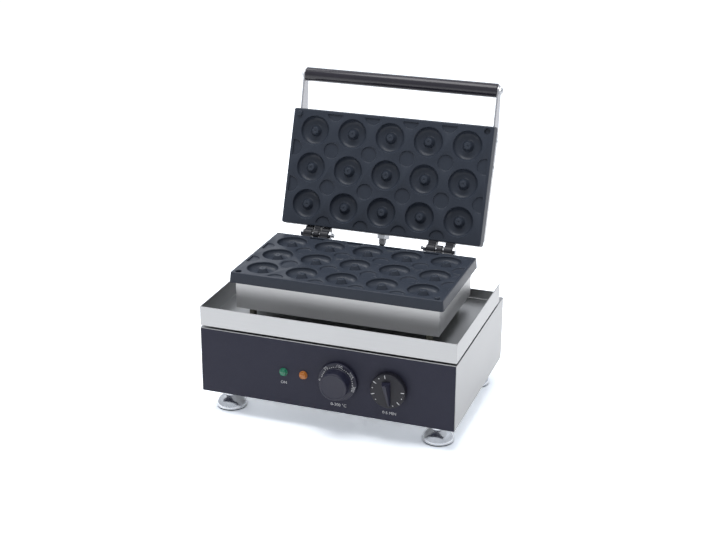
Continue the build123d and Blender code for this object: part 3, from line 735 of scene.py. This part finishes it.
# Glands of the lead sleeve: a hexagon nut and a tapered neck
gland = {
    "flats": 18.0, "bevel": 1.0, "neckRadius": 5.7, "mouthRadius": 5.2, "mouthRound": 0.4, "overlap": 1.0,
    "lid": {"nut": 14.0, "neck": 8.0}, "base": {"nut": 10.0, "neck": 3.0}, "segments": 40,  # heights
    "lidSeat": (18.5, -25.0), "baseSeat": 18.0,  # y and z on the lid, and y behind the hinge
}
glandSeats = {
    "lid": lidPlace @ Matrix.Translation((0, *gland["lidSeat"])) @ Matrix.Rotation(pi / 2, 4, "X"),
    "base": placeOn((0, hingePoint.y + gland["baseSeat"] * mm, housingHigh.z)),
}


def neckLine(nutTop, top):
    low, high, wide = nutTop - gland["overlap"], nutTop + gland["overlap"], gland["neckRadius"]
    mouth = (gland["mouthRadius"], top, gland["mouthRound"])
    return [(0, low, 0), (wide, low, 0), (wide, high, 0), mouth, (0, top, 0)]


for body, seat in glandSeats.items():
    nutTop, top = gland[body]["nut"], sum(gland[body].values())
    nut = placed(hexBlock(body + "GlandNut", gland["flats"], nutTop, gland["bevel"]), seat)
    addPiece(body + "GlandNut", shade(nut), body, zincPlate, "bright_steel", body + "_sleeve_gland")
    neck = placed(lathe(body + "GlandNeck", neckLine(nutTop, top), gland["segments"]), seat)
    addPiece(body + "GlandNeck", shade(neck), body, glandNeck, "gland_black")

# Ribbed lead sleeve from the deck gland up to the lid gland
sleeve = {
    "radius": 4.5, "ribDepth": 0.45, "ribs": 26, "rings": 210, "sides": 28, "crease": 60, "smoothness": 16,
    "bends": [(16.6, -29.0), (16.4, -44.0)],  # y and z from the hinge, downwards
    "sunk": 1.0, "lead": 5.0,  # length inside the gland's mouth, and straight out of it
}


def ribbedSleeve():
    tree, given = newTree("ribbedSleeve", {"Radius": "Float", "Rib Depth": "Float", "Ribs": "Float"})
    even = addNode(tree, "GeometryNodeResampleCurve", {"Curve": given["Geometry"], "Count": sleeve["rings"]})
    along = addNode(tree, "GeometryNodeSplineParameter")
    ribs = addNode(tree, "ShaderNodeMath", {
        0: along.outputs["Factor"], 1: given["Ribs"]}, operation="MULTIPLY")
    phase = addNode(tree, "ShaderNodeMath", {0: ribs.outputs[0], 1: 2 * pi}, operation="MULTIPLY")
    wave = addNode(tree, "ShaderNodeMath", {0: phase.outputs[0]}, operation="SINE")
    ribbed = addNode(tree, "ShaderNodeMath", {
        0: wave.outputs[0], 1: given["Rib Depth"], 2: given["Radius"]}, operation="MULTIPLY_ADD")
    section = addNode(tree, "GeometryNodeCurvePrimitiveCircle", {
        "Resolution": sleeve["sides"], "Radius": 1.0})
    tube = addNode(tree, "GeometryNodeCurveToMesh", {
        "Curve": even.outputs[0], "Profile Curve": section.outputs["Curve"], "Scale": ribbed.outputs[0],
        "Fill Caps": True})
    return endTree(tree, given, tube.outputs[0])


def sleevePath(route):
    path = bpy.data.curves.new("sleevePath", "CURVE")
    path.dimensions = "3D"
    spline = path.splines.new("NURBS")
    spline.points.add(len(route) - 1)
    for point, at in zip(spline.points, route):
        point.co = (*at, 1.0)
    spline.order_u = 3
    spline.use_endpoint_u = True
    spline.resolution_u = sleeve["smoothness"]
    return path


def facedOut(mesh, name):
    bm = bmesh.new()
    bm.from_mesh(mesh)
    return toMesh(bm, name)


ends = {}
for body, seat in glandSeats.items():
    top = sum(gland[body].values())
    ends[body] = [seat @ Vector((0, 0, z)) for z in (top - sleeve["sunk"], top + sleeve["lead"])]
bends = [hingePoint + Vector((0, y, z)) * mm for y, z in reversed(sleeve["bends"])]
path = addObject(sleevePath([*ends["base"], *bends, *reversed(ends["lid"])]))
sleeveTube = throughTree(path, ribbedSleeve(), {
    "Radius": (sleeve["radius"] - sleeve["ribDepth"]) * mm, "Rib Depth": sleeve["ribDepth"] * mm,
    "Ribs": float(sleeve["ribs"]), "Finish": polyamide})
sleeveMesh = shade(facedOut(sleeveTube, "leadSleeve"), sleeve["crease"])
sleevePiece = addObject(painted(sleeveMesh, polyamide), "leadSleeve")
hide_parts("lead_sleeve")
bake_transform(sleevePiece)
print("sleeve laid, faces:", len(sleeveMesh.polygons))

# Pilot lamps
lamp = {
    "height": 50.0, "x": {"green": -62.0, "amber": -32.0}, "segments": 48,
    "line": [(0, 0, 0), (6.2, 0, 0), (6.2, 1.5, 0.5), (5.4, 1.7, 0), (5.1, 4.2, 1.6), (2.6, 5.9, 1.2),
             (0, 6.0, 0)],
}
for colour, finish in (("green", greenLens), ("amber", amberLens)):
    lens = lathe(colour + "Lens", lamp["line"], lamp["segments"])
    lens = placed(moved(lens, lamp["x"][colour], lamp["height"]), panelPlace)
    addPiece(colour + "Lens", shade(lens), "base", finish, colour + "_lens", colour + "_lamp_lens")

# Printed marks and words: thin raised ink
ink = {"sunk": 0.05, "markLift": 0.12, "markRound": 0.49, "markSteps": 4, "wordLift": 0.1, "wordSteps": 3}


def flatMark(name, length, width):
    outline = roundedBox(length / 2, width / 2, width * ink["markRound"], ink["markSteps"])
    return prism(name, [(outline, -ink["sunk"]), (outline, ink["markLift"])])


def wordMesh(text, size):
    curve = bpy.data.curves.new("word", "FONT")
    curve.body = text
    curve.size = size
    curve.align_x = "CENTER"
    curve.align_y = "CENTER"
    curve.extrude = ink["wordLift"] / 2
    curve.resolution_u = ink["wordSteps"]
    return evaluated(addObject(curve))


def onPanel(mesh, control):
    return placed(moved(mesh, control["x"], control["height"]), panelPlace)


# Temperature knob: a dial skirt with numbers and a plain turned cap, on its shaft
warm = {
    "x": 20.5, "height": 50.0, "skirtTop": 6.3, "segments": 96,
    "line": [(0, -19.5, 0), (3, -19.5, 0), (3, 0.8, 0), (28.5, 0.8, 0.3), (28.5, 5.2, 0.6), (27.4, 6.3, 0.5),
             (21.3, 6.3, 0.4), (20.6, 7.4, 0.3), (20.2, 24.0, 1.8), (17.6, 24.0, 0.6), (16.9, 23.5, 0.6),
             (0, 23.5, 0)],
    "numbers": ["0", "75", "150", "225", "300"], "numberSize": 6.4, "numberRadius": 24.6,
    "start": 180.0, "sweep": -195.0,  # degrees
    "dotRadius": 23.0, "dot": 0.75, "dots": 4, "clear": 13.0,  # rows of dots, clear by degrees of the numbers
}
warmCap = onPanel(lathe("temperatureKnob", warm["line"], warm["segments"]), warm)
addPiece("temperatureKnob", shade(warmCap), "temperature_knob", mouldedKnob, "knob_plastic",
         "temperature_knob")
warmMarks = []
stepAngle = warm["sweep"] / (len(warm["numbers"]) - 1)
for k, number in enumerate(warm["numbers"]):
    where = radians(warm["start"] + stepAngle * k)
    x, y = warm["numberRadius"] * cos(where), warm["numberRadius"] * sin(where)
    upright = Matrix.Rotation(where - pi / 2, 4, "Z")
    warmMarks.append(moved(wordMesh(number, warm["numberSize"]), x, y, warm["skirtTop"], upright))
for k in range(len(warm["numbers"]) - 1):
    dot = flatMark("dot", 2 * warm["dot"], 2 * warm["dot"])
    start, sweep = warm["start"] + stepAngle * k - warm["clear"], stepAngle + 2 * warm["clear"]
    dots = onArc("warmDots", dot, whiteInk, warm["dots"], warm["dotRadius"], start, sweep)
    warmMarks.append(moved(dots, z=warm["skirtTop"]))
warmMarks = onPanel(joined("temperatureMarks", warmMarks), warm)
addPiece("temperatureMarks", warmMarks, "temperature_knob", whiteInk, "knob_plastic")

# Timer knob: a round dial with a wedge-shaped pointer, on its shaft
timer = {
    "x": 95.5, "height": 50.0, "top": 10.3, "segments": 96,
    "line": [(0, -19.5, 0), (3, -19.5, 0), (3, 0.8, 0), (25.5, 0.8, 0.3), (25.5, 9.2, 1.0), (24.2, 10.3, 0.6),
             (0, 10.3, 0)],
    "pointerFoot": {"root": (14.5, 13.0, 0.0), "tip": (-21.0, 4.0, 0.0)},  # place, width and height
    "pointerCrest": {"root": (13.3, 5.0, 11.5), "tip": (-21.0, 2.0, 3.0)},
    "turn": 8.0, "edge": 0.6, "edgeSteps": 3,
    "markRadius": 21.9, "tick": (5.2, 1.2), "spot": (1.6, 1.6),  # length along the radius, and width
    "ticks": [(3, 100.0, 96.0), (2, 316.0, 48.0)],  # count, start and sweep in degrees
    "spots": [(3, 124.0, 96.0), (2, 292.0, 48.0)],
}


def pointerMesh():
    bm = bmesh.new()
    rings = []
    for level in ("pointerFoot", "pointerCrest"):
        (root, rootWidth, rootHeight), (tip, tipWidth, tipHeight) = timer[level]["root"], timer[level]["tip"]
        rings.append([bm.verts.new(corner) for corner in (
            (rootWidth / 2, root, rootHeight), (-rootWidth / 2, root, rootHeight),
            (-tipWidth / 2, tip, tipHeight), (tipWidth / 2, tip, tipHeight))])
    turned = Matrix.Rotation(radians(timer["turn"]), 4, "Z")
    return moved(skinned(bm, "timerPointer", rings), z=timer["top"], turn=turned)


timerDial = onPanel(lathe("timerDial", timer["line"], timer["segments"]), timer)
addPiece("timerDial", shade(timerDial), "timer_knob", dialFace, "knob_plastic", "timer_knob")
pointer = shade(onPanel(pointerMesh(), timer))
pointerPiece = addPiece("timerPointer", pointer, "timer_knob", mouldedKnob, "knob_plastic")
softEdges(pointerPiece, timer["edge"], timer["edgeSteps"])
timerMarks = []
for shape, arcs in (("tick", timer["ticks"]), ("spot", timer["spots"])):
    for count, start, sweep in arcs:
        mark = flatMark(shape, *timer[shape])
        row = onArc("timerMarks", mark, whiteInk, count, timer["markRadius"], start, sweep)
        timerMarks.append(moved(row, z=timer["top"]))
timerMarks = onPanel(joined("timerMarks", timerMarks), timer)
addPiece("timerMarks", timerMarks, "timer_knob", whiteInk, "knob_plastic")
print("controls made")

# Generic words under the lamp and the knobs
words = {
    "ON": {"size": 6.0, "x": lamp["x"]["green"], "height": 33.6},
    "0-300 °C": {"size": 6.4, "x": warm["x"], "height": 12.0},
    "0-5 MIN": {"size": 6.0, "x": timer["x"], "height": 12.2},
}
panelWords = joined("panelWords", [
    moved(wordMesh(text, word["size"]), word["x"], word["height"]) for text, word in words.items()])
addPiece("panelWords", placed(panelWords, panelPlace), "base", whiteInk, "panel_black")

# Solids that stay as they are get their finish
plainSolids = {
    "bottom_plate": stainlessBox, "tray_strips": fibreBoard,
    "lower_heater_strips": micaSheet, "upper_heater_strips": micaSheet,
    "lower_insulation": mineralWool, "upper_insulation": mineralWool, "thermostat_bulb": copperTube,
    "lamp_bodies": switchBody, "thermostat_body": switchBody, "timer_body": switchBody,
    "terminal_block": switchBody,
}
for node, finish in plainSolids.items():
    nodes[node].material_slots[0].material = finish
print("finishes set on", len(plainSolids), "solids")

# Paper floor: seen directly or in a reflection it is lighter than it lights the object, white but for shadow
paper = {
    "half": 9.0, "colour": "#FFFFFF", "gleam": "#D2D2D2", "boost": "#F0F8FF",
    "lift": 0.07, "liftColour": "#DCE6F2",
}


def paperFloor():
    finish, tree = newFinish("paperFloor")
    rays = addNode(tree, "ShaderNodeLightPath")
    plain = addNode(tree, "ShaderNodeBsdfDiffuse", {"Color": hexColour(paper["colour"])})
    gleam = addNode(tree, "ShaderNodeBsdfDiffuse", {"Color": hexColour(paper["gleam"])})
    boost = addNode(tree, "ShaderNodeBsdfDiffuse", {"Color": hexColour(paper["boost"])})
    lift = addNode(tree, "ShaderNodeEmission", {
        "Color": hexColour(paper["liftColour"]), "Strength": paper["lift"]})
    mirrored = addNode(tree, "ShaderNodeAddShader", {0: plain.outputs[0], 1: gleam.outputs[0]})
    boosted = addNode(tree, "ShaderNodeAddShader", {0: plain.outputs[0], 1: boost.outputs[0]})
    seen = addNode(tree, "ShaderNodeAddShader", {0: boosted.outputs[0], 1: lift.outputs[0]})
    unseen = addNode(tree, "ShaderNodeMixShader", {
        0: rays.outputs["Is Glossy Ray"], 1: plain.outputs[0], 2: mirrored.outputs[0]})
    surface = addNode(tree, "ShaderNodeMixShader", {
        0: rays.outputs["Is Camera Ray"], 1: unseen.outputs[0], 2: seen.outputs[0]})
    addNode(tree, "ShaderNodeOutputMaterial", {"Surface": surface.outputs[0]})
    return finish


floorMesh = bpy.data.meshes.new("floor")
floorCorners = [(x * paper["half"], y * paper["half"], 0) for x, y in ((-1, -1), (1, -1), (1, 1), (-1, 1))]
floorMesh.from_pydata(floorCorners, [], [(0, 1, 2, 3)])
floor = addObject(painted(floorMesh, paperFloor()))

# Studio sky: bright above and behind, dim in front; reflections find it stronger than the faces it lights
sky = {
    "backdrop": "#FFFFFF", "colour": "#F6F9FF", "brightSide": (-0.08, 0.35, 0.93),
    "soft": {"From Min": -0.3, "From Max": 0.9, "To Min": 0.12, "To Max": 0.66},
    "gleam": {"From Min": 0.40, "From Max": 0.68, "To Min": 0.64, "To Max": 0.92},
}


def studioSky():
    world = bpy.data.worlds.new("studio")
    world.use_nodes = True
    tree = world.node_tree
    tree.nodes.clear()
    coords = addNode(tree, "ShaderNodeTexCoord")
    rays = addNode(tree, "ShaderNodeLightPath")
    facing = addNode(tree, "ShaderNodeVectorMath", {
        0: coords.outputs["Generated"], 1: sky["brightSide"]}, operation="DOT_PRODUCT")
    glows = []
    for use in ("soft", "gleam"):
        level = addNode(tree, "ShaderNodeMapRange", {"Value": facing.outputs["Value"], **sky[use]})
        glow = addNode(tree, "ShaderNodeBackground", {
            "Color": hexColour(sky["colour"]), "Strength": level.outputs[0]})
        glows.append(glow.outputs[0])
    lit = addNode(tree, "ShaderNodeMixShader", {0: rays.outputs["Is Glossy Ray"], 1: glows[0], 2: glows[1]})
    white = addNode(tree, "ShaderNodeBackground", {"Color": hexColour(sky["backdrop"])})
    shown = addNode(tree, "ShaderNodeMixShader", {
        0: rays.outputs["Is Camera Ray"], 1: lit.outputs[0], 2: white.outputs[0]})
    addNode(tree, "ShaderNodeOutputWorld", {"Surface": shown.outputs[0]})
    return world


bpy.context.scene.world = studioSky()

# Two soft lamps, both aimed at the middle of the object
lampAim = Vector((0, -0.03, 0.15))
studioLamps = {
    "key": {"at": (-1.4, 0.5, 1.8), "size": (1.0, 1.0), "watts": 9.0, "colour": "#FFFFFF"},
    "overhead": {"at": (-0.1, -0.25, 2.3), "size": (1.6, 1.2), "watts": 22.0, "colour": "#FFFFFF"},
}
for name, settings in studioLamps.items():
    light = bpy.data.lights.new(name, "AREA")
    light.energy = settings["watts"]
    light.shape = "RECTANGLE"
    light.size, light.size_y = settings["size"]
    light.color = hexColour(settings["colour"])[:3]
    stand = addObject(light)
    stand.location = settings["at"]
    stand.rotation_euler = (lampAim - stand.location).to_track_quat("-Z", "Y").to_euler()

# Camera at the photograph's angle: metres from the panel's front, then degrees
shot = {
    "at": (0.6313, -1.64657, 0.9438), "azimuth": 19.676, "elevation": 21.464, "roll": 0.1676,
    "lens": 70.35, "sensor": 36.0, "shift": (0.00599, -0.00489),
}
view = bpy.data.cameras.new("camera")
view.lens = shot["lens"]
view.sensor_width = shot["sensor"]
view.sensor_fit = "HORIZONTAL"
view.shift_x, view.shift_y = shot["shift"]
camera = addObject(view)
azimuth, elevation = radians(shot["azimuth"]), radians(shot["elevation"])
back = Vector((sin(azimuth) * cos(elevation), -cos(azimuth) * cos(elevation), sin(elevation)))
right = Vector((cos(azimuth), sin(azimuth), 0))
level = Matrix((right, back.cross(right), back)).transposed().to_4x4()
pose = level @ Matrix.Rotation(radians(shot["roll"]), 4, "Z")
pose.translation = Vector(shot["at"]) + Vector((0, panelFront, 0))
camera.matrix_world = pose
bpy.context.scene.camera = camera
bpy.context.scene.view_settings.view_transform = "Standard"
print("floor, light and camera set")
